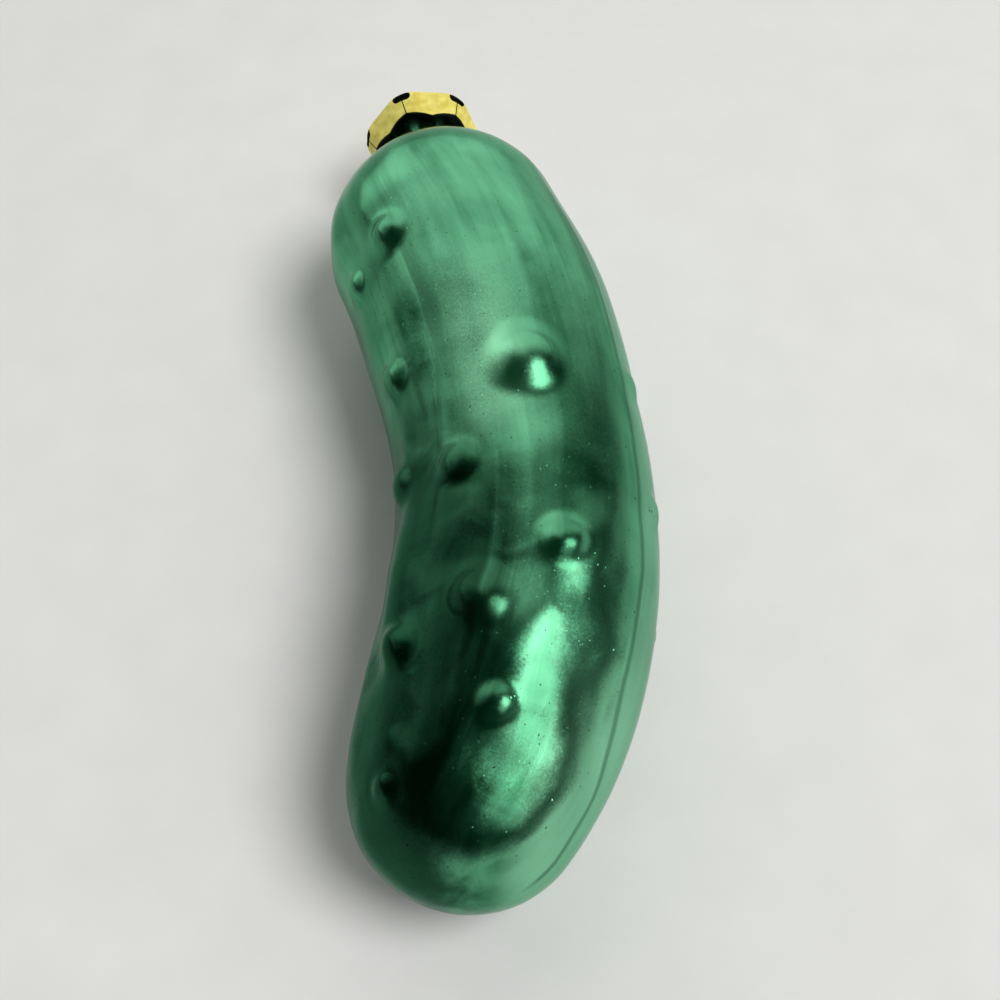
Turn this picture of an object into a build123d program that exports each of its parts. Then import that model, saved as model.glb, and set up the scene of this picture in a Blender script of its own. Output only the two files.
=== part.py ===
from build123d import *
from math import sqrt, sin, cos, tan, radians
import os

# A blown-glass pickle ornament lying on its side on a table. It is a bent, warty glass shell
# with a short open neck, a stamped crown cap with six petals over the neck, and a wire hanger
# whose two spring legs go through the cap's top into the neck. Millimetres, +Z up.
# The long way of the pickle runs along Y, with the cap at +Y and the hollow of the bend at -X.

# Glass shell: the bent middle line, from the blossom end to the shoulder
blossom_bend_radius = 73.0
blossom_bend_length = 39.9
stem_bend_radius = 104.0
stem_bend_length = 37.6
# Glass shell: radii along the middle line
blossom_radius = 13.2
blossom_rise = 3.9
belly_radius = 15.3
waist_radius = 15.1
swell_radius = 15.75
shoulder_radius = 15.4
glass_wall = 1.0
# Neck
neck_radius = 4.75
neck_reach = 24.0
neck_flare = 3.0
neck_swing = 13.6
neck_droop = 9.7
# Warts: ball radius, height over the skin, and the round at the foot
wart_sizes = {
    "large": (6.0, 1.5, 5.0),
    "broad": (4.6, 1.2, 3.8),
    "medium": (3.7, 1.05, 2.8),
    "small": (3.0, 0.9, 2.4),
    "tiny": (2.2, 0.7, 2.2),
    "faint": (5.0, 0.5, 3.5),
}
# Crown cap: a six-sided crown with one flat petal to a side, turned a little about the neck
cap_sheet = 0.35
cap_flat_radius = 8.0
cap_corner_radius = 4.4
cap_fold_radius = 0.9
petal_count = 6
petal_turn = -12.5
petal_drop = 4.3
petal_tip_radius = 6.3
petal_gap = 0.15
petal_corner_rise = 0.85
brace_shoulder_out = 0.7
brace_shoulder_in = 0.4
brace_shoulder_rise = 0.6
relief_width = 1.3
relief_length = 2.6
relief_depth = 0.4
boss_radius = 2.6
boss_rise = 0.7
boss_slope = 0.6
boss_edge_radius = 0.3
# Hanger wire
wire_radius = 0.4
wire_hole_clearance = 0.15
leg_offset = 1.2
loop_radius = 3.5
loop_shoulder = 1.0
loop_standoff = 0.3
hanger_travel = 3.0
leg_spread_length = 5.5
leg_toe_length = 4.0
leg_toe_turn_in = 0.7
leg_spare = 1.0
leg_bore_clearance = 0.3
leg_bend_radius = 4.0
# How it lies on the table: turn, roll towards the hollow side, and nose-up tilt, in degrees
table_turn = 4.4
rest_roll = 5.6
rest_pitch = 1.15

axis_length = blossom_bend_length + stem_bend_length
blossom_ring = sqrt(blossom_radius**2 - blossom_rise**2)
touch_tolerance = 0.02
# Each girth is (share of the middle line, radius)
girths = [
    (0.050, blossom_ring + 0.34 * (belly_radius - blossom_ring)),
    (0.125, blossom_ring + 0.70 * (belly_radius - blossom_ring)),
    (0.245, blossom_ring + 0.97 * (belly_radius - blossom_ring)),
    (0.430, belly_radius),
    (0.620, waist_radius),
    (0.820, swell_radius),
]
# Each wart is (share of the middle line, degrees round from the top towards +X, size)
warts = [
    (0.937, -32, "medium"),
    (0.915, -62, "small"),
    (0.684, -57, "medium"),
    (0.622, 10, "large"),
    (0.471, -25, "medium"),
    (0.490, -63, "medium"),
    (0.347, 21, "medium"),
    (0.255, -8, "broad"),
    (0.170, -43, "medium"),
    (0.119, 10, "small"),
    (-0.030, -28, "tiny"),
    (0.620, 70, "faint"),
    (0.440, 74, "faint"),
    (0.800, 112, "medium"),
    (0.740, -118, "broad"),
    (0.560, 140, "broad"),
    (0.420, -122, "medium"),
    (0.320, 114, "medium"),
    (0.200, -104, "small"),
    (0.180, 128, "medium"),
]


def axis_plane(share):
    """Cross-section plane of the middle line: Z along the line, X straight down."""
    run = share * axis_length - blossom_bend_length
    bend = stem_bend_radius if run > 0 else blossom_bend_radius
    turn = run / bend
    side = -bend * (1 - cos(turn))
    along = bend * sin(turn)
    tangent = Vector(-sin(turn), cos(turn), 0)
    return Plane(origin=(side, along, 0), x_dir=(0, 0, -1), z_dir=tangent)


def blossom_dome(inset):
    """Ball-shaped cap on the blossom end, from its joining ring outwards."""
    ball = blossom_radius - inset
    ring = sqrt(ball**2 - blossom_rise**2)
    middle = ((ball**2 - (0.5 * ring) ** 2) ** 0.5) - blossom_rise
    with BuildSketch(Plane.XZ) as half:
        with BuildLine():
            Line((0, 0), (ring, 0))
            ThreePointArc((ring, 0), (0.5 * ring, middle), (0, ball - blossom_rise))
            Line((0, ball - blossom_rise), (0, 0))
        make_face()
    dome = revolve(half.sketch, axis=Axis.Z)
    end = axis_plane(0)
    return Plane(origin=end.origin, x_dir=end.x_dir, z_dir=-end.z_dir) * dome


def neck_plane():
    """Frame of the neck: origin at the shoulder ball's centre, Z out of the neck, X level."""
    end = axis_plane(1)
    swung = end.z_dir.rotate(Axis.Z, -neck_swing)
    level = swung.cross(Vector(0, 0, 1)).normalized()
    drooped = swung.rotate(Axis((0, 0, 0), level), -neck_droop)
    return Plane(origin=end.origin, x_dir=level, z_dir=drooped)


def shoulder_and_neck(inset, overrun):
    """Half ball of the shoulder with the neck flaring out of it, turned about the neck's axis."""
    ball = shoulder_radius - inset
    bore = neck_radius - inset
    flare = neck_flare + inset
    flare_out = neck_radius + neck_flare
    flare_up = sqrt((shoulder_radius + neck_flare) ** 2 - flare_out**2)
    grow = ball / (shoulder_radius + neck_flare)
    touch = (flare_out * grow, flare_up * grow)
    mid = Vector(-flare_out, -flare_up).normalized() + Vector(-1, 0)
    mid = Vector(flare_out, flare_up) + mid.normalized() * flare
    top = neck_reach + overrun
    with BuildSketch(Plane.XZ) as half:
        with BuildLine():
            Line((0, -ball), (0, top))
            Line((0, top), (bore, top))
            Line((bore, top), (bore, flare_up))
            ThreePointArc((bore, flare_up), (mid.X, mid.Y), touch)
            ThreePointArc(touch, (ball, 0), (0, -ball))
        make_face()
    turned = neck_plane() * revolve(half.sketch, axis=Axis.Z)
    end = axis_plane(1)
    return split(turned, bisect_by=Plane(origin=end.origin, z_dir=end.z_dir), keep=Keep.TOP)


def pickle_form(inset, overrun):
    """The whole pickle form, drawn in by the inset on every side."""
    first = sqrt((blossom_radius - inset) ** 2 - blossom_rise**2)
    rings = [axis_plane(0) * Circle(first)]
    for share, radius in girths:
        rings.append(axis_plane(share) * Circle(radius - inset))
    rings.append(axis_plane(1) * Circle(shoulder_radius - inset))
    body = loft(rings)
    return body + blossom_dome(inset) + shoulder_and_neck(inset, overrun)


def wart_seat(plain, share, clock):
    """Where a wart stands on the plain form's skin, and the way that it points."""
    plane = axis_plane(share)
    up = plane.x_dir * -cos(radians(clock))
    out = plane.z_dir.cross(Vector(0, 0, 1)) * sin(radians(clock))
    normal = up + out
    hits = plain.find_intersection_points(Axis(plane.origin, normal))
    skin = max((hit for hit, _ in hits), key=normal.dot)
    return skin, normal, plane.z_dir


def lies_on_ball(edge, centre, ball):
    """Whether an edge runs over a ball's surface."""
    return all(abs((edge @ t - centre).length - ball) < touch_tolerance for t in (0.1, 0.4, 0.8))


def add_warts(plain):
    """Low round warts standing on the plain form's skin, each with a rounded foot."""
    form = plain
    for share, clock, size in warts:
        ball, height, foot = wart_sizes[size]
        skin, normal, along = wart_seat(plain, share, clock)
        centre = skin + normal * (height - ball)
        form = form + Plane(origin=centre, x_dir=normal * -1, z_dir=along) * Sphere(ball)
        rim = [edge for edge in form.edges() if lies_on_ball(edge, centre, ball)]
        form = fillet(rim, foot)
    return form


def on_table(shape):
    """Turns the pieces from the bend's own frame to the way the pickle lies."""
    return Rot(0, 0, table_turn) * Rot(rest_pitch, 0, 0) * Rot(0, -rest_roll, 0) * shape


glass = add_warts(pickle_form(0, 0)) - pickle_form(glass_wall, 1)

# The cap and the hanger are drawn about the neck's axis, with Z = 0 at the neck's rim
hub = neck_plane()
neck_rim = Plane(origin=hub.origin + hub.z_dir * neck_reach, x_dir=hub.x_dir, z_dir=hub.z_dir)

# Crown cap: the outside less the same form drawn in by the sheet
boss_foot = boss_radius + boss_slope
petal_lean = (cap_flat_radius - petal_tip_radius) / petal_drop
tip_level = cap_sheet - petal_drop
half_petal = 180 / petal_count


def petal_ring(flat_radius):
    """Polygon with one side for each petal and rounded corners."""
    ring = RegularPolygon(flat_radius, petal_count, major_radius=False)
    return Rot(0, 0, petal_turn + half_petal) * fillet(ring.vertices(), cap_corner_radius)


def cap_form(inset, overrun):
    """Tapered crown with a round boss in the middle of its top, both with soft edges."""
    top = cap_sheet - inset
    upper = Pos(0, 0, top) * petal_ring(cap_flat_radius - inset)
    lower_radius = petal_tip_radius - inset - petal_lean * overrun
    lower = Pos(0, 0, tip_level - overrun) * petal_ring(lower_radius)
    crown = loft([lower, upper])
    crown = fillet(crown.faces().sort_by(Axis.Z)[-1].edges(), cap_fold_radius - inset)
    boss = Pos(0, 0, top + boss_rise / 2) * Cone(boss_foot, boss_radius, boss_rise)
    form = crown + boss
    return fillet(form.edges().filter_by(lambda edge: edge.is_closed), boss_edge_radius)


cap = cap_form(0, 0) - cap_form(cap_sheet, petal_corner_rise)

# Petals: a slit and an oblong relief hole between each two, and a brace-shaped end with one point
petal_half = petal_tip_radius * tan(radians(half_petal))
shoulder_out = brace_shoulder_out * petal_half
shoulder_in = brace_shoulder_in * petal_half
shoulder_rise = brace_shoulder_rise * petal_corner_rise
relief_level = cap_sheet - relief_depth - relief_width / 2
for i in range(petal_count):
    spin = Rot(0, 0, half_petal * (2 * i + 1) + petal_turn)
    slit_middle = Pos(cap_flat_radius, 0, relief_level - petal_drop / 2)
    slit = slit_middle * Box(cap_flat_radius, petal_gap, petal_drop)
    outward = Plane((petal_tip_radius, 0, relief_level), x_dir=(0, 1, 0), z_dir=(1, 0, 0))
    relief = extrude(outward * SlotOverall(relief_length, relief_width), cap_flat_radius)
    with BuildSketch(Plane((0, 0, tip_level), x_dir=(0, 1, 0), z_dir=(1, 0, 0))) as brace:
        with BuildLine():
            Line((-petal_half, 0), (-petal_half, -petal_corner_rise))
            Line((-petal_half, -petal_corner_rise), (petal_half, -petal_corner_rise))
            Line((petal_half, -petal_corner_rise), (petal_half, 0))
            Bezier(
                (petal_half, 0),
                (shoulder_out, shoulder_rise),
                (shoulder_in, shoulder_rise),
                (0, petal_corner_rise),
            )
            Bezier(
                (0, petal_corner_rise),
                (-shoulder_in, shoulder_rise),
                (-shoulder_out, shoulder_rise),
                (-petal_half, 0),
            )
        make_face()
    trim = extrude(brace.sketch, 2 * cap_flat_radius)
    cap = cap - spin * slit - spin * relief - spin * trim
for x in (-leg_offset, leg_offset):
    cap = cap - Pos(x, 0, boss_rise) * Cylinder(wire_radius + wire_hole_clearance, 4 * cap_sheet)

# Hanger: a loop over the cap, two straight legs through the cap, spread and turned in below
boss_top = boss_rise + cap_sheet
loop_start = boss_top + loop_standoff
loop_centre = loop_start + sqrt((loop_radius + loop_shoulder) ** 2 - (leg_offset + loop_shoulder) ** 2)
meet = loop_radius / (loop_radius + loop_shoulder)
meet_point = Vector((leg_offset + loop_shoulder) * meet, loop_centre + (loop_start - loop_centre) * meet)
bow_centre = Vector(leg_offset + loop_shoulder, loop_start)
bow_mid = (meet_point - bow_centre).normalized() + Vector(-1, 0)
bow_mid = bow_centre + bow_mid.normalized() * loop_shoulder
leg_spread = neck_radius - glass_wall - leg_bore_clearance - wire_radius
leg_straight_end = boss_rise - hanger_travel - leg_spare
spread_end = leg_straight_end - leg_spread_length
toe_end = spread_end - leg_toe_length
with BuildLine() as half_line:
    ThreePointArc((0, loop_centre + loop_radius), (loop_radius, loop_centre), meet_point)
    ThreePointArc(meet_point, bow_mid, (leg_offset, loop_start))
    FilletPolyline(
        (leg_offset, loop_start),
        (leg_offset, leg_straight_end),
        (leg_spread, spread_end),
        (leg_spread - leg_toe_turn_in, toe_end),
        radius=[leg_bend_radius, leg_bend_radius],
    )
half_path = Plane.XZ * half_line.line
half_wire = sweep(Plane.YZ * Pos(0, loop_centre + loop_radius) * Circle(wire_radius), path=half_path)
hanger = half_wire + mirror(half_wire, about=Plane.YZ)

glass = on_table(glass)
cap = on_table(neck_rim * cap)
hanger = on_table(neck_rim * hanger)

# Stand the pickle on the table, with the origin under the middle of the whole ornament
pieces = [Compound(piece.wrapped) for piece in (glass, cap, hanger)]
box = Compound(children=pieces).bounding_box()
seat = Pos(-box.center().X, -box.center().Y, -box.min.Z)

os.makedirs("parts", exist_ok=True)
for name, shape in (("glass_pickle", glass), ("crown_cap", cap), ("hanger_wire", hanger)):
    export_step(seat * shape, f"parts/{name}.step")
    print(name, "volume", round(shape.volume, 1), "valid", shape.is_valid)
print("seat", [round(v, 3) for v in seat.position])
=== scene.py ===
# %% [markdown]
# # A glass pickle ornament
# The ornament is a thin blown-glass pickle, silvered inside and lacquered green outside.
# A gold crown cap sits on its neck, and a sprung wire loop hangs it.
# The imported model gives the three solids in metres, and this lesson dresses them.

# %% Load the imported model
import math
import bpy
import numpy as np
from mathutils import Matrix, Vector, noise


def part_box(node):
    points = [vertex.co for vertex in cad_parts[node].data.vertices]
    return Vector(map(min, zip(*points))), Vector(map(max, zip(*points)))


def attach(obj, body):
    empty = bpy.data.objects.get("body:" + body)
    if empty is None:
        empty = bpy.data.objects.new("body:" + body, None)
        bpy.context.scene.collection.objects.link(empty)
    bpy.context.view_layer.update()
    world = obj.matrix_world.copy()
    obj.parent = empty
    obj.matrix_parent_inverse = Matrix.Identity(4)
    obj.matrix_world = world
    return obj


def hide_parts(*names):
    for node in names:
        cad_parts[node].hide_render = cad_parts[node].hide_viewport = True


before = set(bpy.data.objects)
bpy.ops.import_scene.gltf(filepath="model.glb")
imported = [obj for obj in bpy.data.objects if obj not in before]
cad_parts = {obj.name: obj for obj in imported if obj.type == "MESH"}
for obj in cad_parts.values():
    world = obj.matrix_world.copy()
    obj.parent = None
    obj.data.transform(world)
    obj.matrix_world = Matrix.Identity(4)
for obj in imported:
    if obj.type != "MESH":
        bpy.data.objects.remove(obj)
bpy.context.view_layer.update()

MM = 0.001
scene = bpy.context.scene
scene.view_settings.view_transform = "Standard"

# %% [markdown]
# ## Camera
# The picture was taken from close above the blossom end, looking down at about 61 degrees.
# The outline gives the angle, and the cap's size gives the distance.
# A camera could be aimed with a tracking constraint. Two values are simpler here:
# where it is, and its pitch.

# %% Camera at the photograph's place
CAMERA_AT = (1.963, -84.954, 150.0)
CAMERA_PITCH_DOWN = 61.3
SENSOR_WIDTH = 36.0
FOCAL_LENGTH = 46.8
CLIP_START = 0.005

camera_data = bpy.data.cameras.new("photo_camera")
camera_data.sensor_width = SENSOR_WIDTH
camera_data.lens = FOCAL_LENGTH
camera_data.clip_start = CLIP_START
camera = bpy.data.objects.new("photo_camera", camera_data)
camera.location = Vector(CAMERA_AT) * MM
camera.rotation_euler = (math.radians(90 - CAMERA_PITCH_DOWN), 0, 0)
scene.collection.objects.link(camera)
scene.camera = camera
print("camera at", [round(v, 4) for v in camera.location])

# %% [markdown]
# ## The bent middle line
# The pickle is drawn as rings threaded on a bent line: two arcs that meet smoothly.
# Each ring is a circle square to that line, so the body is round wherever it is cut.
# A Bezier curve could carry the rings too, but two arcs take only two radii and two lengths,
# and these are the numbers that the solid model was made from, in millimetres.

# %% Middle line of the pickle
BLOSSOM_BEND_RADIUS = 73.0
BLOSSOM_BEND_LENGTH = 39.9
STEM_BEND_RADIUS = 104.0
STEM_BEND_LENGTH = 37.6
AXIS_LENGTH = BLOSSOM_BEND_LENGTH + STEM_BEND_LENGTH
UP = np.array([0.0, 0.0, 1.0])


def axis_at(share):
    """Point and direction of the middle line at a share of its length."""
    run = share * AXIS_LENGTH - BLOSSOM_BEND_LENGTH
    bend = STEM_BEND_RADIUS if run > 0 else BLOSSOM_BEND_RADIUS
    turn = run / bend
    point = np.array([-bend * (1 - math.cos(turn)), bend * math.sin(turn), 0.0])
    return point, np.array([-math.sin(turn), math.cos(turn), 0.0])


print("middle line", AXIS_LENGTH, "mm long")

# %% [markdown]
# ## Girth along the line
# Blown glass swells and narrows gently. Sculpting could give this, but a smooth curve through
# a few girths keeps every number in view. Its ends are sloped to run into the round
# blossom end and the round shoulder without a crease.

# %% Girths
BLOSSOM_RADIUS = 13.2
BLOSSOM_RISE = 3.9
BELLY_RADIUS = 15.3
WAIST_RADIUS = 15.1
SWELL_RADIUS = 15.75
SHOULDER_RADIUS = 15.4
BLOSSOM_RING = math.sqrt(BLOSSOM_RADIUS**2 - BLOSSOM_RISE**2)
GROWTH = BELLY_RADIUS - BLOSSOM_RING
GIRTHS = [
    # share of the length, radius
    (0.0, BLOSSOM_RING),
    (0.050, BLOSSOM_RING + 0.34 * GROWTH),
    (0.125, BLOSSOM_RING + 0.70 * GROWTH),
    (0.245, BLOSSOM_RING + 0.97 * GROWTH),
    (0.430, BELLY_RADIUS),
    (0.620, WAIST_RADIUS),
    (0.820, SWELL_RADIUS),
    (1.0, SHOULDER_RADIUS),
]


def smooth_curve(knots, start_slope, end_slope):
    """Cubic curve through the knots with the given slopes at its two ends."""
    at = np.array([k[0] for k in knots])
    value = np.array([k[1] for k in knots])
    gap = np.diff(at)
    rise = np.diff(value) / gap
    count = len(knots)
    matrix = np.eye(count)
    right = np.zeros(count)
    right[0], right[-1] = start_slope, end_slope
    for i in range(1, count - 1):
        matrix[i, i - 1 : i + 2] = gap[i], 2 * (gap[i] + gap[i - 1]), gap[i - 1]
        right[i] = 3 * (gap[i] * rise[i - 1] + gap[i - 1] * rise[i])
    slope = np.linalg.solve(matrix, right)

    def curve(x):
        i = min(max(int(np.searchsorted(at, x)) - 1, 0), count - 2)
        t = (x - at[i]) / gap[i]
        low = value[i] * (1 + 2 * t) * (1 - t) ** 2 + slope[i] * gap[i] * t * (1 - t) ** 2
        high = value[i + 1] * t * t * (3 - 2 * t) + slope[i + 1] * gap[i] * t * t * (t - 1)
        return low + high

    return curve


girth_at = smooth_curve(GIRTHS, BLOSSOM_RISE / BLOSSOM_RING * AXIS_LENGTH, 0.0)
print("girth radius at the middle", round(girth_at(0.5), 2), "mm")

# %% [markdown]
# ## Neck
# The neck leaves the round shoulder at a slight angle to the body, and droops to the table.
# It could be a tube pushed into the shoulder, but then a crease would show. Rings on a ball
# stay on the ball however they are tipped, so the rings of the shoulder turn little by little
# from the body's direction to the neck's.

# %% Neck direction and flare
NECK_RADIUS = 4.75
NECK_REACH = 24.0
NECK_FLARE = 3.0
NECK_SWING = 13.6
NECK_DROOP = 9.7
GLASS_WALL = 1.0
FLARE_OUT = NECK_RADIUS + NECK_FLARE
FLARE_UP = math.sqrt((SHOULDER_RADIUS + NECK_FLARE) ** 2 - FLARE_OUT**2)


def turned(vectors, about, degrees):
    """A vector, or rows of vectors, turned about an axis by the right-hand rule."""
    angle = math.radians(degrees)
    along = np.multiply.outer(vectors @ about, about) * (1 - math.cos(angle))
    return vectors * math.cos(angle) + np.cross(about, vectors) * math.sin(angle) + along


shoulder_centre, body_end = axis_at(1.0)
swung = turned(body_end, UP, -NECK_SWING)
level = np.cross(swung, UP)
neck_way = turned(swung, level / np.linalg.norm(level), -NECK_DROOP)
print("neck direction", neck_way.round(3))

# %% [markdown]
# ## Rings of the shell
# A ring is a centre, a direction and a radius, with its place along the straightened pickle.
# A spun profile would need a straight middle line, so each ring is placed by itself.
# The rings run over the round blossom end, the bent body, the shoulder and the neck's flare.

# %% Rings of one wall
RING_STEP = 0.5
FLARE_STEP_SHARE = 0.6
LEAST_BALL_RINGS, LEAST_FLARE_RINGS = 8, 6


def neck_ring(along, radius):
    """A ring on the neck's line, at a distance from the shoulder's centre."""
    return shoulder_centre + neck_way * along, neck_way, radius, AXIS_LENGTH + along


def shell_rings(inset, step):
    """Rings of the pickle from the blossom tip to the neck, drawn in by the inset."""
    rings = []
    start, start_way = axis_at(0.0)
    ball = BLOSSOM_RADIUS - inset
    dome_centre = start + start_way * BLOSSOM_RISE
    join = math.acos(BLOSSOM_RISE / ball)
    count = max(int(ball * join / step), LEAST_BALL_RINGS)
    for i in range(1, count):
        back = ball * math.cos(join * i / count)
        radius = ball * math.sin(join * i / count)
        rings.append((dome_centre - start_way * back, start_way, radius, BLOSSOM_RISE - back))
    count = int(AXIS_LENGTH / step)
    for i in range(count + 1):
        point, way = axis_at(i / count)
        radius = girth_at(i / count) - inset
        if i == 0:
            radius = math.sqrt(ball**2 - BLOSSOM_RISE**2)
        rings.append((point, way, radius, AXIS_LENGTH * i / count))
    ball = SHOULDER_RADIUS - inset
    touch = math.asin(FLARE_OUT / (SHOULDER_RADIUS + NECK_FLARE))
    span = math.pi / 2 - touch
    count = max(int(ball * span / step), LEAST_BALL_RINGS)
    for i in range(1, count + 1):
        angle = math.pi / 2 - span * i / count
        blend = 0.5 - 0.5 * math.cos(math.pi * i / count)
        way = body_end * (1 - blend) + neck_way * blend
        way = way / np.linalg.norm(way)
        ahead, radius = ball * math.cos(angle), ball * math.sin(angle)
        rings.append((shoulder_centre + way * ahead, way, radius, AXIS_LENGTH + ahead))
    flare = NECK_FLARE + inset
    count = max(int(flare * span / (FLARE_STEP_SHARE * step)), LEAST_FLARE_RINGS)
    for i in range(1, count + 1):
        angle = touch + span * i / count
        radius = FLARE_OUT - flare * math.sin(angle)
        rings.append(neck_ring(FLARE_UP - flare * math.cos(angle), radius))
    return rings


print("one wall has", len(shell_rings(0.0, RING_STEP)), "rings up to the neck")

# %% [markdown]
# ## Neck, lip and inner wall
# The outer skin goes on along the neck, over a lip that was rounded in the flame, and back inside.
# A Solidify modifier could thicken a single skin, but it would leave the lip square.
# One closed skin has a real wall, so the open neck shows its thickness when the cap is off.

# %% Lip and inner wall
LIP_STEPS = 6
INNER_STEP = 2.0


def lip_rings():
    """Rings of the straight neck, over its rounded lip, to the bore."""
    lip = GLASS_WALL / 2
    middle = NECK_RADIUS - lip
    straight = np.arange(FLARE_UP + RING_STEP, NECK_REACH - lip, RING_STEP)
    rings = [neck_ring(along, NECK_RADIUS) for along in straight]
    for i in range(LIP_STEPS + 1):
        angle = math.pi * i / LIP_STEPS
        along = NECK_REACH - lip + lip * math.sin(angle)
        rings.append(neck_ring(along, middle + lip * math.cos(angle)))
    return rings


outer_rings = shell_rings(0.0, RING_STEP) + lip_rings()
inner_rings = shell_rings(GLASS_WALL, INNER_STEP)[::-1]
print(len(outer_rings), "outer rings,", len(inner_rings), "inner rings")

# %% [markdown]
# ## Points on the rings
# Each ring carries the same number of points, counted from its top, so they make one grid.
# Subdividing a coarse grid would soften the warts, so the grid is simply fine.
# Each point also remembers its place on the straightened pickle, for streaks that follow the bend.

# %% Points of the skin
RING_POINTS = 240


def ring_sides(way):
    """The upward and sideways directions of a ring."""
    side = np.cross(way, UP)
    side = side / np.linalg.norm(side)
    return np.cross(side, way), side


clock = np.linspace(0, 2 * math.pi, RING_POINTS, endpoint=False)
points, normals, unbent = [], [], []
for centre, way, radius, along in outer_rings + inner_rings:
    up, side = ring_sides(way)
    spoke = np.outer(np.cos(clock), up) + np.outer(np.sin(clock), side)
    points.append(centre + radius * spoke)
    normals.append(spoke)
    lengthwise = np.full(RING_POINTS, along)
    unbent.append(np.column_stack([radius * np.sin(clock), lengthwise, radius * np.cos(clock)]))
points, normals, unbent = np.vstack(points), np.vstack(normals), np.vstack(unbent)
outer_count = len(outer_rings) * RING_POINTS
print(outer_count, "points outside,", len(points) - outer_count, "inside")

# %% [markdown]
# ## Warts
# A pickle's warts are low rounded bumps. Each is part of a ball standing out of the skin,
# with a hollow round at its foot, so light runs over it without a hard edge.
# They could be sculpted, but a formula gives each the profile that the solid model has.
# The list gives the share of the length, the clock angle from the top, and the size.

# %% Raise the warts
WART_SIZES = {
    # radius of the ball, height over the skin, radius of the foot
    "large": (6.0, 1.5, 5.0),
    "broad": (4.6, 1.2, 3.8),
    "medium": (3.7, 1.05, 2.8),
    "small": (3.0, 0.9, 2.4),
    "tiny": (2.2, 0.7, 2.2),
    "faint": (5.0, 0.5, 3.5),
}
WARTS = [
    (0.937, -32, "medium"),
    (0.915, -62, "small"),
    (0.684, -57, "medium"),
    (0.622, 10, "large"),
    (0.471, -25, "medium"),
    (0.490, -63, "medium"),
    (0.347, 21, "medium"),
    (0.255, -8, "broad"),
    (0.170, -43, "medium"),
    (0.119, 10, "small"),
    (-0.030, -28, "tiny"),
    (0.620, 70, "faint"),
    (0.440, 74, "faint"),
    (0.800, 112, "medium"),
    (0.740, -118, "broad"),
    (0.560, 140, "broad"),
    (0.420, -122, "medium"),
    (0.320, 114, "medium"),
    (0.200, -104, "small"),
    (0.180, 128, "medium"),
]


def wart_height(distance, ball, height, foot):
    """Height of a wart over the skin at each distance from its middle."""
    reach = math.sqrt((ball + foot) ** 2 - (foot + ball - height) ** 2)
    meet = reach * ball / (ball + foot)
    crown = np.sqrt(np.maximum(ball**2 - distance**2, 0)) - (ball - height)
    hollow = foot - np.sqrt(np.maximum(foot**2 - (reach - distance) ** 2, 0))
    return np.where(distance < meet, crown, np.where(distance < reach, hollow, 0.0))


plain = points[:outer_count].copy()
grow = np.zeros(outer_count)
for share, degrees, size in WARTS:
    centre, way = axis_at(share)
    up, side = ring_sides(way)
    spoke = up * math.cos(math.radians(degrees)) + side * math.sin(math.radians(degrees))
    foot_point = centre + spoke * girth_at(share)
    bump = wart_height(np.linalg.norm(plain - foot_point, axis=1), *WART_SIZES[size])
    grow = np.maximum(grow, bump)
print(len(WARTS), "warts, the highest", grow.max().round(2), "mm")

# %% [markdown]
# ## Uneven glass
# Hand-blown glass is never quite true. It swells and dips, most on top of the blossom end,
# and has shallow folds along its hollow side. A bump in the finish could fake this,
# but a shining surface shows even a tenth of a millimetre, so the points themselves move.

# %% Swells, ripples and folds
SWELL_SIZE = 9.0
SWELL_DEPTH_BLOSSOM, SWELL_DEPTH_STEM = 1.0, 0.12
RIPPLE_SIZE = 4.5
RIPPLE_DEPTH_BLOSSOM, RIPPLE_DEPTH_STEM = 0.22, 0.04
NOISE_START = np.array([27.77, 31.76, 32.39])
FOLD_WIDTH, FOLD_LENGTH, FOLD_DEPTH = 4.5, 22.0, 0.35
CALMER_FROM, CALMER_TO = 27.0, 42.0
UPPER_FROM, UPPER_TO = 1.0, 8.0
FOLDS_FROM, FOLDS_TO = -1.0, -9.0


def rising(values, start, full):
    """Share of a change that is 0 at its start and 1 where it is full."""
    return np.clip((values - start) / (full - start), 0, 1)


sideways, lengthwise, upwards = unbent.T
lively = rising(upwards, UPPER_FROM, UPPER_TO) * (1 - rising(lengthwise, CALMER_FROM, CALMER_TO))
swell_depth = SWELL_DEPTH_STEM + (SWELL_DEPTH_BLOSSOM - SWELL_DEPTH_STEM) * lively
ripple_depth = RIPPLE_DEPTH_STEM + (RIPPLE_DEPTH_BLOSSOM - RIPPLE_DEPTH_STEM) * lively
fold_depth = FOLD_DEPTH * rising(sideways, FOLDS_FROM, FOLDS_TO)
fold_scale = np.array([1 / FOLD_WIDTH, 1 / FOLD_LENGTH, 1 / FOLD_WIDTH])
neck_start = AXIS_LENGTH + SHOULDER_RADIUS
for i in range(outer_count):
    if lengthwise[i] < neck_start:
        grow[i] += noise.noise(Vector(plain[i] / SWELL_SIZE + NOISE_START)) * swell_depth[i]
        grow[i] += noise.noise(Vector(plain[i] / RIPPLE_SIZE + NOISE_START)) * ripple_depth[i]
        grow[i] += noise.noise(Vector(unbent[i] * fold_scale)) * fold_depth[i]
print("deepest dip", grow.min().round(2), "mm")

# %% [markdown]
# ## Mould seam
# The glass is blown in a mould of two halves, which leaves a low ridge along two opposite sides.
# It could be a separate thin strip, but the ridge is part of the glass, so it is added to the skin.
# Each point also remembers how near it is to the ridge, for the painted dark reflection line
# that runs along it.

# %% Seam ridge
SEAM_CLOCK, SEAM_TURN, SEAM_TURN_FROM = 60.0, 15.0, 18.0
SEAM_HALF_WIDTH, SEAM_HEIGHT = 0.8, 0.10
SEAM_STEM_END, SEAM_STEM_FULL = 84.0, 74.0
SEAM_TIP_END, SEAM_TIP_FULL = -8.0, -2.0

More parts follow.
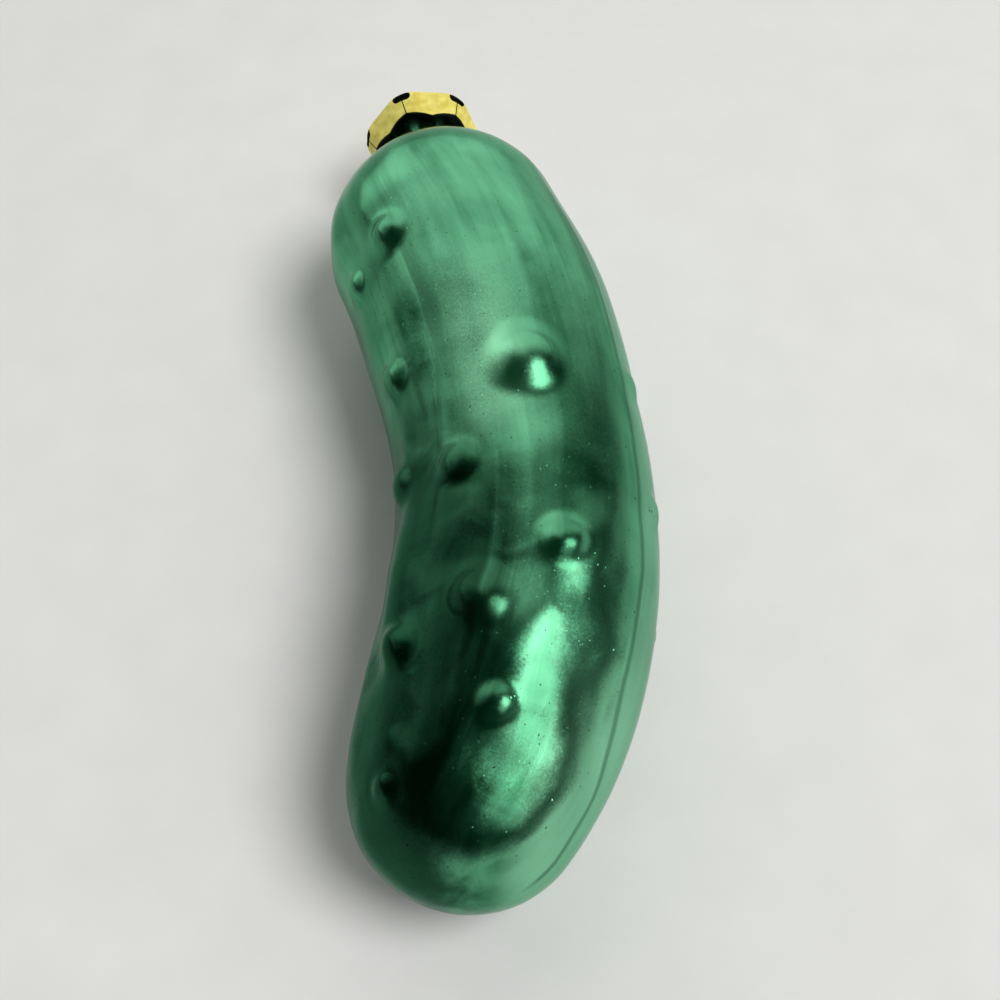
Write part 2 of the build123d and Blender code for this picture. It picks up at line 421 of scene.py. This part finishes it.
seam_clock = np.radians(SEAM_CLOCK + SEAM_TURN * rising(lengthwise, SEAM_TURN_FROM, 0.0))
clock_gap = np.abs(np.angle(np.exp(1j * (np.arctan2(sideways, upwards) - seam_clock))))
clock_gap = np.minimum(clock_gap, math.pi - clock_gap)
seam = np.exp(-((clock_gap * np.hypot(sideways, upwards) / SEAM_HALF_WIDTH) ** 2))
seam *= rising(lengthwise, SEAM_STEM_END, SEAM_STEM_FULL)
seam *= rising(lengthwise, SEAM_TIP_END, SEAM_TIP_FULL)
seam[outer_count:] = 0
grow += SEAM_HEIGHT * seam[:outer_count]
points[:outer_count] += normals[:outer_count] * grow[:, None]
print("seam ridge", SEAM_HEIGHT, "mm high")

# %% [markdown]
# ## Faces
# The grid becomes quads between neighbouring rings, outside and inside in one sheet.
# A fan of triangles closes each wall at the blossom tip. The first ring could be closed
# by one large face, but that would be flat where the glass is round.

# %% Faces and tips
faces = []
ring_count = len(outer_rings) + len(inner_rings)
for r in range(ring_count - 1):
    here, there = r * RING_POINTS, (r + 1) * RING_POINTS
    for k in range(RING_POINTS):
        n = (k + 1) % RING_POINTS
        faces.append((here + k, here + n, there + n, there + k))
start, start_way = axis_at(0.0)
tips, tip_places = [], []
for inset, ring, flip in ((0.0, 0, False), (GLASS_WALL, ring_count - 1, True)):
    tip_index = len(points) + len(tips)
    tips.append(start - start_way * (BLOSSOM_RADIUS - inset - BLOSSOM_RISE))
    tip_places.append([0.0, BLOSSOM_RISE - BLOSSOM_RADIUS + inset, 0.0])
    for k in range(RING_POINTS):
        pair = (ring * RING_POINTS + k, ring * RING_POINTS + (k + 1) % RING_POINTS)
        faces.append((tip_index,) + (pair if flip else pair[::-1]))
points = np.vstack([points] + tips)
unbent = np.vstack([unbent] + tip_places)
seam = np.append(seam, [0.0] * len(tips))
print(len(points), "points,", len(faces), "faces")

# %% [markdown]
# ## Lay the pickle on the table
# The rings are drawn in the bend's own frame. The ornament then rolls towards its hollow side,
# tips by about a degree and turns a little, which is how it comes to rest, and moves to its place.
# The object could be turned instead, but points in the model's own frame need no fitting.

# %% Place the skin
REST_ROLL = 5.6
REST_PITCH = 1.15
TABLE_TURN = 4.4
SEAT = np.array([4.693, -10.054, 16.021])

laid = points
for about, degrees in (((0, 1, 0), -REST_ROLL), ((1, 0, 0), REST_PITCH), ((0, 0, 1), TABLE_TURN)):
    laid = turned(laid, np.array(about, float), degrees)
laid = (laid + SEAT) * MM
mesh = bpy.data.meshes.new("glass_skin")
mesh.from_pydata(laid.tolist(), [], faces)
mesh.attributes.new("unbent", "FLOAT_VECTOR", "POINT").data.foreach_set("vector", unbent.ravel())
mesh.attributes.new("seam", "FLOAT", "POINT").data.foreach_set("value", seam)
mesh.polygons.foreach_set("use_smooth", [True] * len(mesh.polygons))
mesh.update()
glass_skin = bpy.data.objects.new("glass_skin", mesh)
scene.collection.objects.link(glass_skin)
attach(glass_skin, "glass_body")
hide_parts("glass_pickle")
low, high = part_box("glass_pickle")
print("solid box mm", [round(v / MM, 2) for v in (*low, *high)])
print("skin box mm", (laid.min(axis=0) / MM).round(2), (laid.max(axis=0) / MM).round(2))

# %% [markdown]
# ## Helpers for finishes
# A finish is a small network of nodes. One function adds a node, sets its options and links
# its inputs. Colours are written as sRGB hex values, as a paint chart gives them, and turned
# to the linear values that light needs. A zone is a part of a surface, or of the sky,
# with soft edges: each edge is a measure, where the zone starts and where it is full.

# %% Node and colour helpers
def linear(hex_colour):
    """Linear colour of an sRGB hex value."""
    channels = [int(hex_colour[i : i + 2], 16) / 255 for i in (1, 3, 5)]
    return [c / 12.92 if c <= 0.04045 else ((c + 0.055) / 1.055) ** 2.4 for c in channels] + [1.0]


def add(tree, kind, values=None, links=None, **options):
    """Adds a node, sets its options and input values, and links its inputs."""
    node = tree.nodes.new(kind)
    for name, option in options.items():
        setattr(node, name, option)
    for socket, value in (values or {}).items():
        node.inputs[socket].default_value = value
    for socket, source in (links or {}).items():
        tree.links.new(source, node.inputs[socket])
    return node


def new_finish(name):
    """A new material with an empty node tree and an output."""
    material = bpy.data.materials.new(name)
    material.use_nodes = True
    material.node_tree.nodes.clear()
    return material, material.node_tree, add(material.node_tree, "ShaderNodeOutputMaterial")


def zone(tree, level, *edges):
    """Share of a zone: its level times each of its soft edges."""
    share = None
    for measure, start, full in edges:
        edge = add(
            tree,
            "ShaderNodeMapRange",
            {"From Min": start, "From Max": full, "To Max": 1.0 if share else level},
            {"Value": measure},
            interpolation_type="SMOOTHSTEP",
        ).outputs[0]
        if share:
            both = {0: share, 1: edge}
            edge = add(tree, "ShaderNodeMath", None, both, operation="MULTIPLY").outputs[0]
        share = edge
    return share


print("sRGB mid grey is", round(linear("#808080")[0], 3), "in linear light")

# %% [markdown]
# ## Green pearl lacquer over silvered glass
# The glass is silvered inside, so it shines like metal. The green lacquer outside carries fine
# pearl flakes and is brushed on, so it lies in soft streaks along the pickle. A clear gloss lies
# over it all. Clear glass over a mirror could be traced as it is, but that is slow and grainy.
# A metallic base with a coat gives the same: green reflections below, thin white gloss on top.

# %% Brushed streaks and clouds
STREAK_WIDTH, STREAK_LENGTH = 3.2, 38.0
CLOUD_SIZE = 15.0
FULL_GREEN, THIN_GREEN = "#387D58", "#62B187"
FULL_BELOW, THIN_ABOVE = 0.40, 0.60

lacquer, tree, output = new_finish("green_pearl_lacquer_on_silvered_glass")
place = add(tree, "ShaderNodeAttribute", attribute_name="unbent").outputs["Vector"]
streak_place = add(
    tree,
    "ShaderNodeVectorMath",
    {1: (1 / STREAK_WIDTH, 1 / STREAK_LENGTH, 1 / STREAK_WIDTH)},
    {0: place},
    operation="MULTIPLY",
)
streaks = add(
    tree,
    "ShaderNodeTexNoise",
    {"Scale": 1.0, "Detail": 4.0, "Roughness": 0.55, "Distortion": 0.5},
    {"Vector": streak_place.outputs[0]},
).outputs["Fac"]
clouds = add(
    tree,
    "ShaderNodeTexNoise",
    {"Scale": 1 / CLOUD_SIZE, "Detail": 3.0, "Distortion": 1.2},
    {"Vector": place},
).outputs["Fac"]
blend = add(tree, "ShaderNodeMix", {"Factor": 0.5}, {"A": streaks, "B": clouds})
thinness = add(
    tree,
    "ShaderNodeMapRange",
    {"From Min": FULL_BELOW, "From Max": THIN_ABOVE},
    {"Value": blend.outputs[0]},
)
tint = add(
    tree,
    "ShaderNodeMix",
    {"A": linear(FULL_GREEN), "B": linear(THIN_GREEN)},
    {"Factor": thinness.outputs[0]},
    data_type="RGBA",
).outputs["Result"]
print("streaks", STREAK_WIDTH, "by", STREAK_LENGTH, "mm")

# %% [markdown]
# ## Painted reflections and shade in the lacquer
# These zones paint mirrored light and shade into the lacquer. A painted dark reflection, nearly
# black, lies on the hollow side towards the blossom end. Painted pale reflections lie on the ridge
# and low on the outer flank.
# How much of these tones the real lacquer has, and how much is mirrored light, is a guess.
# The zones could be painted by hand. Here each zone is a product of soft edges, measured in
# millimetres on the straightened pickle, so it can be read and moved. Noise added to a measure
# makes its edge wander.

# %% Wandering measures
STREAK_REACH, CLOUD_REACH, SLANT = 8.0, 26.0, 1.2
TIP_FROM, TIP_TO, TIP_SHIFT = 5.0, -10.0, 7.0

where = add(tree, "ShaderNodeSeparateXYZ", None, {0: place})
across, along = where.outputs["X"], where.outputs["Y"]
round_the_tip = add(
    tree,
    "ShaderNodeMapRange",
    {"From Min": TIP_FROM, "From Max": TIP_TO, "To Max": TIP_SHIFT},
    {"Value": along},
)
outward = add(
    tree,
    "ShaderNodeMath",
    None,
    {0: across, 1: round_the_tip.outputs[0]},
    operation="SUBTRACT",
).outputs[0]
uneven = add(
    tree,
    "ShaderNodeMath",
    {1: STREAK_REACH},
    {0: streaks, 2: outward},
    operation="MULTIPLY_ADD",
).outputs[0]
slanted = add(
    tree,
    "ShaderNodeMath",
    {1: SLANT},
    {0: across, 2: along},
    operation="MULTIPLY_ADD",
).outputs[0]
wander = add(
    tree,
    "ShaderNodeMath",
    {1: CLOUD_REACH},
    {0: clouds, 2: slanted},
    operation="MULTIPLY_ADD",
).outputs[0]
print("edges wander by up to", STREAK_REACH, "mm across and", CLOUD_REACH, "mm along")

# %% [markdown]
# ## Zones of the lacquer
# Each zone tints the lacquer below it, in the order of the list. Most are painted reflections,
# and the dark streaks carry painted shade on the left side. Separate materials would meet in hard
# lines, so all zones mix in this one.

# %% Painted reflections and shade in the lacquer
# A zone's level comes first, then its edges: the measure, where it starts and where it is full.
# Painted dark reflection: nearly black lacquer on the hollow side towards the blossom end, standing
# in for the shaded table mirrored there.
thick = zone(tree, 0.95, (uneven, 7.5, 0.5), (wander, 56.0, 38.0))
ridge_sides = (across, -7.0, -2.5), (across, 4.0, -1.0)
ridge_ends = (along, 37.0, 46.0), (along, 66.0, 54.0)
seam_sides = (across, 6.5, 9.5), (across, 13.0, 11.0)
seam_ends = (along, 0.0, 12.0), (along, 62.0, 42.0)
streak_edges = (across, -3.0, -9.0), (streaks, 0.50, 0.64), (along, 77.0, 66.0)
LACQUER_ZONES = {
    # Painted reflection of the pale table, low on the outer flank.
    "painted floor reflection low on the flank": ("#92DAB0", zone(tree, 0.7, (across, 7.0, 11.0), (along, 24.0, 8.0))),
    # Painted dark reflection on the hollow side.
    "painted dark reflection on the hollow side": ("#09341E", thick),
    # Painted pale reflection of the table along the right edge, beyond the seam.
    "painted pale reflection beyond the seam": ("#A8DCC2", zone(tree, 0.3, (across, 12.6, 14.4))),
    # Painted pale reflection of the bright surroundings on the top of the stem half.
    "painted pale reflection on the ridge": ("#86D2A6", zone(tree, 0.8, *ridge_sides, *ridge_ends)),
    # Dark brush streaks, kept to the left side of the stem half, where they also paint shade.
    "dark streaks with painted shade on the left": ("#17472F", zone(tree, 0.75, *streak_edges)),
    # Painted dark reflection between the highlight and the pale flank.
    "painted dark reflection beside the seam": ("#0F4A2C", zone(tree, 0.6, *seam_sides, *seam_ends)),
}
for colour, share in LACQUER_ZONES.values():
    layers = {"Factor": share, "A": tint}
    mix = add(tree, "ShaderNodeMix", {"B": linear(colour)}, layers, data_type="RGBA")
    tint = mix.outputs["Result"]
print("lacquer zones:", ", ".join(LACQUER_ZONES))

# %% [markdown]
# ## Specks and seam line
# A few dark specks lie in the lacquer, and a thin painted dark reflection runs along the mould
# seam.
# Specks could be separate tiny blobs. A pattern of cells is lighter: a few of its cells
# are picked, and each gets a dot at its middle.

# %% Specks and seam line
SPECK_SPACING, SPECK_RADIUS, SPECK_PICK = 2.4, 0.17, 0.92
SPECK_GREEN, SEAM_GREEN = "#123A2A", "#1E5238"
SEAM_SHARE, SEAM_LINE_FROM, SEAM_LINE_FULL = 0.6, 0.55, 1.0

speck_cells = add(tree, "ShaderNodeTexVoronoi", {"Scale": 1 / SPECK_SPACING}, {"Vector": place})
speck_pick = add(tree, "ShaderNodeSeparateXYZ", None, {0: speck_cells.outputs["Color"]})
speck_size = add(
    tree,
    "ShaderNodeMapRange",
    {"From Min": SPECK_PICK, "From Max": 1.0, "To Max": SPECK_RADIUS / SPECK_SPACING},
    {"Value": speck_pick.outputs["X"]},
)
speck = add(
    tree,
    "ShaderNodeMath",
    None,
    {0: speck_cells.outputs["Distance"], 1: speck_size.outputs[0]},
    operation="LESS_THAN",
)
near_seam = add(tree, "ShaderNodeAttribute", attribute_name="seam").outputs["Fac"]
# Painted dark reflection: a thin dark line along the mould seam.
seam_line = zone(tree, SEAM_SHARE, (near_seam, SEAM_LINE_FROM, SEAM_LINE_FULL))
for colour, share in ((SPECK_GREEN, speck.outputs[0]), (SEAM_GREEN, seam_line)):
    layers = {"Factor": share, "A": tint}
    mix = add(tree, "ShaderNodeMix", {"B": linear(colour)}, layers, data_type="RGBA")
    tint = mix.outputs["Result"]
print("specks up to", 2 * SPECK_RADIUS, "mm wide")

# %% [markdown]
# ## Swirls and pearl flakes
# The lacquer's surface swirls a little, most towards the blossom end. Pearl flakes are tiny
# mirrors that lie a little askew, so each cell of a fine pattern leans the surface its own way.
# Real flakes are about 0.05 mm, far too many for a mesh. They are drawn at 0.16 mm here,
# because finer ones would only turn to grey noise.

# %% Swirls and flakes
SWIRL_SIZE, SWIRL_DEPTH = 5.0, 0.14
SWIRL_FULL_TO, SWIRL_CALM_FROM, SWIRL_CALM = 26.0, 42.0, 0.15
FLAKE_SIZE = 0.16
FLAKE_LEAN, STRAY_LEAN = 0.04, 0.5
STRAY_FROM, STRAY_TO = 0.990, 0.992

swirl = add(
    tree,
    "ShaderNodeTexNoise",
    {"Scale": 1 / SWIRL_SIZE, "Detail": 1.0, "Roughness": 0.4, "Distortion": 0.8},
    {"Vector": place},
)
swirl_share = add(
    tree,
    "ShaderNodeMapRange",
    {"From Min": SWIRL_FULL_TO, "From Max": SWIRL_CALM_FROM, "To Min": 1.0, "To Max": SWIRL_CALM},
    {"Value": along},
)
wavy = add(
    tree,
    "ShaderNodeBump",
    {"Distance": SWIRL_DEPTH * MM},
    {"Height": swirl.outputs["Fac"], "Strength": swirl_share.outputs[0]},
)
flake_cells = add(tree, "ShaderNodeTexVoronoi", {"Scale": 1 / FLAKE_SIZE}, {"Vector": place})
flakes = flake_cells.outputs["Color"]
flake_kind = add(tree, "ShaderNodeSeparateXYZ", None, {0: flakes})
stray = add(
    tree,
    "ShaderNodeMapRange",
    {"From Min": STRAY_FROM, "From Max": STRAY_TO, "To Min": FLAKE_LEAN, "To Max": STRAY_LEAN},
    {"Value": flake_kind.outputs["Z"]},
)
lean = add(tree, "ShaderNodeVectorMath", {1: (0.5, 0.5, 0.5)}, {0: flakes}, operation="SUBTRACT")
lean = add(
    tree,
    "ShaderNodeVectorMath",
    None,
    {0: lean.outputs[0], "Scale": stray.outputs[0]},
    operation="SCALE",
)
leaning = add(
    tree,
    "ShaderNodeVectorMath",
    None,
    {0: wavy.outputs["Normal"], 1: lean.outputs[0]},
    operation="ADD",
)
flake_normal = add(
    tree,
    "ShaderNodeVectorMath",
    None,
    {0: leaning.outputs[0]},
    operation="NORMALIZE",
)
print("flakes of", FLAKE_SIZE, "mm")

# %% [markdown]
# ## Lacquer shader
# The shader gathers it all: a metallic green base for the silvering seen through lacquer,
# and a thin clear gloss. The edge tint keeps the steep sides green, where plain metal
# would turn white.

# %% Lacquer shader
# Where the painted dark reflection lies, the edge tint is a little paler and the clear gloss
# thinner.
EDGE_THIN, EDGE_THICK = "#B8D8C8", "#C4E2D1"
GLOSS_THIN, GLOSS_THICK = 0.22, 0.08
SMOOTHEST, DULLEST = 0.19, 0.28
DULL_FROM, DULL_TO = 0.3, 0.7

edge_tint = add(
    tree,
    "ShaderNodeMix",
    {"A": linear(EDGE_THIN), "B": linear(EDGE_THICK)},
    {"Factor": thick},
    data_type="RGBA",
)
dull = add(
    tree,
    "ShaderNodeMapRange",
    {"From Min": DULL_FROM, "From Max": DULL_TO, "To Min": SMOOTHEST, "To Max": DULLEST},
    {"Value": clouds},
)
gloss_ends = {"To Min": GLOSS_THIN, "To Max": GLOSS_THICK}
gloss = add(tree, "ShaderNodeMapRange", gloss_ends, {"Value": thick})
paint = add(
    tree,
    "ShaderNodeBsdfPrincipled",
    {"Metallic": 1.0, "Coat Roughness": 0.12, "Coat IOR": 1.5},
    {
        "Base Color": tint,
        "Specular Tint": edge_tint.outputs["Result"],
        "Roughness": dull.outputs[0],
        "Coat Weight": gloss.outputs[0],
        "Normal": flake_normal.outputs[0],
    },
)
tree.links.new(paint.outputs[0], output.inputs["Surface"])
glass_skin.data.materials.append(lacquer)
print("finish:", lacquer.name)

# %% [markdown]
# ## Gold sheet of the cap
# The cap is thin stamped sheet with a grained gold face, which looks bright and a little mottled
# and does not mirror. Its solid shape is right, so it only needs a finish.
# A polished brass shader would be too dark here, so most of the gold is plain colour.
# Real grain is about 0.05 mm. It is drawn at 0.16 mm, because finer grain would not show.

# %% Gold grain
GRAIN_SIZE, GRAIN_RISE, GRAIN_SHARE = 0.16, 0.05, 0.6
MOTTLE_SIZE = 1.2
DEEP_GOLD, PALE_GOLD = "#DECA50", "#FAEC84"
DEEP_BELOW, PALE_ABOVE = 0.3, 0.7

gold, tree, output = new_finish("grained_gold_sheet")
place = add(tree, "ShaderNodeTexCoord")
spot, facing_way = place.outputs["Object"], place.outputs["Normal"]
grain = add(tree, "ShaderNodeTexVoronoi", {"Scale": 1 / (GRAIN_SIZE * MM)}, {"Vector": spot})
rough_grain = add(
    tree,
    "ShaderNodeBump",
    {"Strength": GRAIN_SHARE, "Distance": GRAIN_RISE * MM},
    {"Height": grain.outputs["Distance"]},
)
mottle_scale = {"Scale": 1 / (MOTTLE_SIZE * MM), "Detail": 3.0}
mottle = add(tree, "ShaderNodeTexNoise", mottle_scale, {"Vector": spot})
paleness = add(
    tree,
    "ShaderNodeMapRange",
    {"From Min": DEEP_BELOW, "From Max": PALE_ABOVE},
    {"Value": mottle.outputs["Fac"]},
)
tone = add(
    tree,
    "ShaderNodeMix",
    {"A": linear(DEEP_GOLD), "B": linear(PALE_GOLD)},
    {"Factor": paleness.outputs[0]},
    data_type="RGBA",
)
print("grain of", GRAIN_SIZE, "mm on", gold.name)

# %% [markdown]
# ## Painted shade inside the cap
# The inside of the sheet and its cut edges get painted shade, nearly black,
# which draws the black slits and openings of the crown. These faces could be given a second
# material, but the solid's mesh stays as it is, so the finish finds them by the way they face:
# an outer face looks away from the cap's axis or along it to the top.

# %% Painted shade inside and on cut edges
RIM_MIDDLE = Vector((-9.1227, 49.4098, 12.2648)) * MM
CAP_WAY = Vector((-0.1801, 0.9706, -0.1599))
# Painted shade: faces of the sheet that look inwards, and its cut edges, turn nearly black.
BARE_DARK = "#0E0C08"
OUTER_ABOVE, INNER_BELOW = 0.35, 0.2

from_rim = add(
    tree,
    "ShaderNodeVectorMath",
    {1: RIM_MIDDLE},
    {0: spot},
    operation="SUBTRACT",
).outputs[0]
on_axis = add(tree, "ShaderNodeVectorMath", {1: CAP_WAY}, {0: from_rim}, operation="PROJECT")
outwards = add(
    tree,
    "ShaderNodeVectorMath",
    None,
    {0: from_rim, 1: on_axis.outputs[0]},
    operation="SUBTRACT",
)
outwards = add(
    tree,
    "ShaderNodeVectorMath",
    None,
    {0: outwards.outputs[0]},
    operation="NORMALIZE",
)
facing_out = add(
    tree,
    "ShaderNodeVectorMath",
    None,
    {0: outwards.outputs[0], 1: facing_way},
    operation="DOT_PRODUCT",
)
facing_top = add(
    tree,
    "ShaderNodeVectorMath",
    {1: CAP_WAY},
    {0: facing_way},
    operation="DOT_PRODUCT",
)
outer_face = add(
    tree,
    "ShaderNodeMath",
    None,
    {0: facing_out.outputs["Value"], 1: facing_top.outputs["Value"]},
    operation="MAXIMUM",
)
inside = add(
    tree,
    "ShaderNodeMapRange",
    {"From Min": OUTER_ABOVE, "From Max": INNER_BELOW},
    {"Value": outer_face.outputs[0]},
)
# Mixes the painted shade into the gold on faces that look inwards.
gilt = add(
    tree,
    "ShaderNodeMix",
    {"B": linear(BARE_DARK)},
    {"Factor": inside.outputs[0], "A": tone.outputs["Result"]},
    data_type="RGBA",
)
sheet = add(
    tree,
    "ShaderNodeBsdfPrincipled",
    {"Metallic": 0.2, "Roughness": 0.5},
    {"Base Color": gilt.outputs["Result"], "Normal": rough_grain.outputs[0]},
)
tree.links.new(sheet.outputs[0], output.inputs["Surface"])
print("rim of the cap at", [round(v / MM, 1) for v in RIM_MIDDLE], "mm")

# %% [markdown]
# ## Hanger wire
# The hanger is drawn steel wire with a pale gold wash. Drawing leaves fine marks,
# which break up its gleam. They could be a bump, but on so thin a wire a change of tone is enough.
# Real marks are about 0.02 mm wide. They are drawn at 0.12 mm, because finer ones would not show.

# %% Wire finish
MARK_SIZE = 0.12
DARK_WASH, PALE_WASH = "#A99A62", "#D8CDA0"

washed_steel, tree, output = new_finish("drawn_steel_wire_with_gold_wash")
place = add(tree, "ShaderNodeTexCoord")
marks = add(
    tree,
    "ShaderNodeTexNoise",
    {"Scale": 1 / (MARK_SIZE * MM), "Detail": 2.0},
    {"Vector": place.outputs["Object"]},
)
wash = add(
    tree,
    "ShaderNodeMix",
    {"A": linear(DARK_WASH), "B": linear(PALE_WASH)},
    {"Factor": marks.outputs["Fac"]},
    data_type="RGBA",
)
wire = add(
    tree,
    "ShaderNodeBsdfPrincipled",
    {"Metallic": 1.0, "Roughness": 0.28},
    {"Base Color": wash.outputs["Result"]},
)
tree.links.new(wire.outputs[0], output.inputs["Surface"])

for node_name, finish in (("crown_cap", gold), ("hanger_wire", washed_steel)):
    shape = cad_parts[node_name]
    shape.data.materials.clear()
    shape.data.materials.append(finish)
    print(node_name, "finished with", finish.name)

# %% [markdown]
# ## Table
# The ornament lies on pale board. The sheet bends up round three sides, as a studio sweep does,
# so that low views end on board and the shining skin mirrors it. The far side stays flat
# and open towards the daylight. A plane with a curved wall would leave a seam line,
# so the sheet is one grid of rings and spokes. Each spoke follows one profile, scaled from flat
# to fully raised.

# %% Table sheet with a sweep
FLAT_RADII = (0.0, 0.15, 0.3, 0.45, 0.6)
BEND_RADIUS, SWEEP_RADIUS, SWEEP_TALL = 0.25, 0.85, 0.36
BEND_STEPS, SPOKES = 12, 96
OPEN_TURN = 95.0
FLAT_WITHIN, RAISED_BEYOND = 40.0, 75.0
OPEN_REACH = 3.0

profile = [(r, 0.0) for r in FLAT_RADII]
for i in range(1, BEND_STEPS + 1):
    a = math.pi / 2 * i / BEND_STEPS
    out, lift = BEND_RADIUS * math.sin(a), BEND_RADIUS * (1 - math.cos(a))
    profile.append((FLAT_RADII[-1] + out, lift))
profile.append((SWEEP_RADIUS, SWEEP_TALL))
sheet_points, sheet_faces = [], []
for i in range(SPOKES):
    turn = 360.0 * i / SPOKES
    off = abs((turn - OPEN_TURN + 180) % 360 - 180)
    share = rising(off, FLAT_WITHIN, RAISED_BEYOND)
    raised = share * share * (3 - 2 * share)
    reach = raised + OPEN_REACH * (1 - raised)
    x, y = reach * math.cos(math.radians(turn)), reach * math.sin(math.radians(turn))
    sheet_points += [(r * x, r * y, z * raised) for r, z in profile]
    here, there = i * len(profile), (i + 1) % SPOKES * len(profile)
    for j in range(len(profile) - 1):
        sheet_faces.append((here + j, here + j + 1, there + j + 1, there + j))
table_mesh = bpy.data.meshes.new("pale_table")
table_mesh.from_pydata(sheet_points, [], sheet_faces)
table_mesh.polygons.foreach_set("use_smooth", [True] * len(sheet_faces))
table = bpy.data.objects.new("pale_table", table_mesh)
scene.collection.objects.link(table)
print("table", 2 * SWEEP_RADIUS, "m wide,", len(sheet_faces), "faces")

# %% [markdown]
# ## Board finish
# Pale card board is matt, with faint clouds of fibre, so it shows soft shadows and no gloss.
# A plain white would glare where the sweep faces the light, so the board darkens as it rises.

# %% Board finish
FIBRE_CLOUD = 9.0
BOARD_DARK, BOARD_PALE, BOARD_DIM = "#DBDAD9", "#E4E3E2", "#5A5D5B"
DIM_FROM, DIM_TO = 0.02, 0.27

board, tree, output = new_finish("pale_card_board")
spot = add(tree, "ShaderNodeTexCoord").outputs["Object"]
fibre_scale = {"Scale": 1 / (FIBRE_CLOUD * MM), "Detail": 5.0}
fibre = add(tree, "ShaderNodeTexNoise", fibre_scale, {"Vector": spot})
shade = add(
    tree,
    "ShaderNodeMix",
    {"A": linear(BOARD_DARK), "B": linear(BOARD_PALE)},
    {"Factor": fibre.outputs["Fac"]},
    data_type="RGBA",
)
height = add(tree, "ShaderNodeSeparateXYZ", None, {0: spot}).outputs["Z"]
fading = add(
    tree,
    "ShaderNodeMix",
    {"B": linear(BOARD_DIM)},
    {"Factor": zone(tree, 1.0, (height, DIM_FROM, DIM_TO)), "A": shade.outputs["Result"]},
    data_type="RGBA",
)
card_links = {"Base Color": fading.outputs["Result"]}
card = add(tree, "ShaderNodeBsdfPrincipled", {"Roughness": 0.75}, card_links)
tree.links.new(card.outputs[0], output.inputs["Surface"])
table_mesh.materials.append(board)
print("finish:", board.name)

# %% [markdown]
# ## Sky
# A shining skin mirrors its whole surroundings, so they are part of its look.
# A panorama picture could give them. Here the sky is drawn by a few nodes: a deep green room
# with soft pale glows, a broad one on the open far side and smaller ones overhead.
# Each glow is a zone measured by how nearly a direction points to its middle.

# %% Sky with soft glows
ROOM_GREEN, DAYLIGHT = "#1C4030", "#FFFDFA"
GLOWS = {
    # name: turn and lift of its middle, where it starts and is full as a dot product, its level
    "open far side": (96, 5, 0.36, 0.80, 1.2),
    "window": (-9, 54, 0.86, 1.0, 1.0),
    "far left": (150, 25, 0.80, 0.97, 0.25),
    "low on the left": (165, 6, 0.90, 0.995, 0.6),
    "near right": (-48, 52, 0.93, 0.995, 0.8),
    "high on the far side": (97, 63, 0.94, 0.995, 0.3),
}


def direction(turn, lift):
    """Unit vector from a turn (0 is +X, 90 is +Y) and a lift over the table, in degrees."""
    turn, lift = math.radians(turn), math.radians(lift)
    level = math.cos(lift)
    return Vector((level * math.cos(turn), level * math.sin(turn), math.sin(lift)))


sky = bpy.data.worlds.new("soft_room")
scene.world = sky
sky.use_nodes = True
tree = sky.node_tree
tree.nodes.clear()
way = add(tree, "ShaderNodeTexCoord").outputs["Generated"]
pale_part = None
for turn, lift, starts, full, level in GLOWS.values():
    middle = {1: direction(turn, lift)}
    toward = add(tree, "ShaderNodeVectorMath", middle, {0: way}, operation="DOT_PRODUCT")
    patch = zone(tree, level, (toward.outputs["Value"], starts, full))
    if pale_part:
        both = {0: pale_part, 1: patch}
        patch = add(tree, "ShaderNodeMath", None, both, operation="ADD").outputs[0]
    pale_part = patch
room = add(
    tree,
    "ShaderNodeMix",
    {"A": linear(ROOM_GREEN), "B": linear(DAYLIGHT)},
    {"Factor": pale_part},
    data_type="RGBA",
    clamp_factor=False,
)
background = add(tree, "ShaderNodeBackground", None, {"Color": room.outputs["Result"]})
add(tree, "ShaderNodeOutputWorld", None, {"Surface": background.outputs[0]})
print("glows:", ", ".join(GLOWS))

# %% [markdown]
# ## Lamps
# One lamp could do both jobs, but a lamp that lights the table well is too bright in a mirror.
# So two share the work. The window is seen in reflections, where it draws the long highlight.
# The soft box lights the table and the cap, and is left out of reflections.

# %% Window and soft box
LAMPS = {
    # name: turn, lift, metres away, width, height, watts, and whether it is seen in reflections
    "window": (-9, 54, 1.20, 0.66, 0.84, 3.2, True),
    "soft_box": (-22, 63, 1.20, 0.56, 0.56, 9.3, False),
}
for name, (turn, lift, away, width, tall, watts, mirrored) in LAMPS.items():
    lamp_data = bpy.data.lights.new(name, "AREA")
    lamp_data.shape = "ELLIPSE"
    lamp_data.size = width
    lamp_data.size_y = tall
    lamp_data.energy = watts
    lamp = bpy.data.objects.new(name, lamp_data)
    lamp.location = direction(turn, lift) * away
    lamp.rotation_euler = direction(turn, lift).to_track_quat("Z", "Y").to_euler()
    lamp.visible_camera = False
    lamp.visible_glossy = mirrored
    lamp.visible_diffuse = not mirrored
    scene.collection.objects.link(lamp)
    print(name, "at", [round(v, 3) for v in lamp.location])

# %% [markdown]
# ## Finish
# The last step brings the scene up to date.

# %% Last step
bpy.context.view_layer.update()
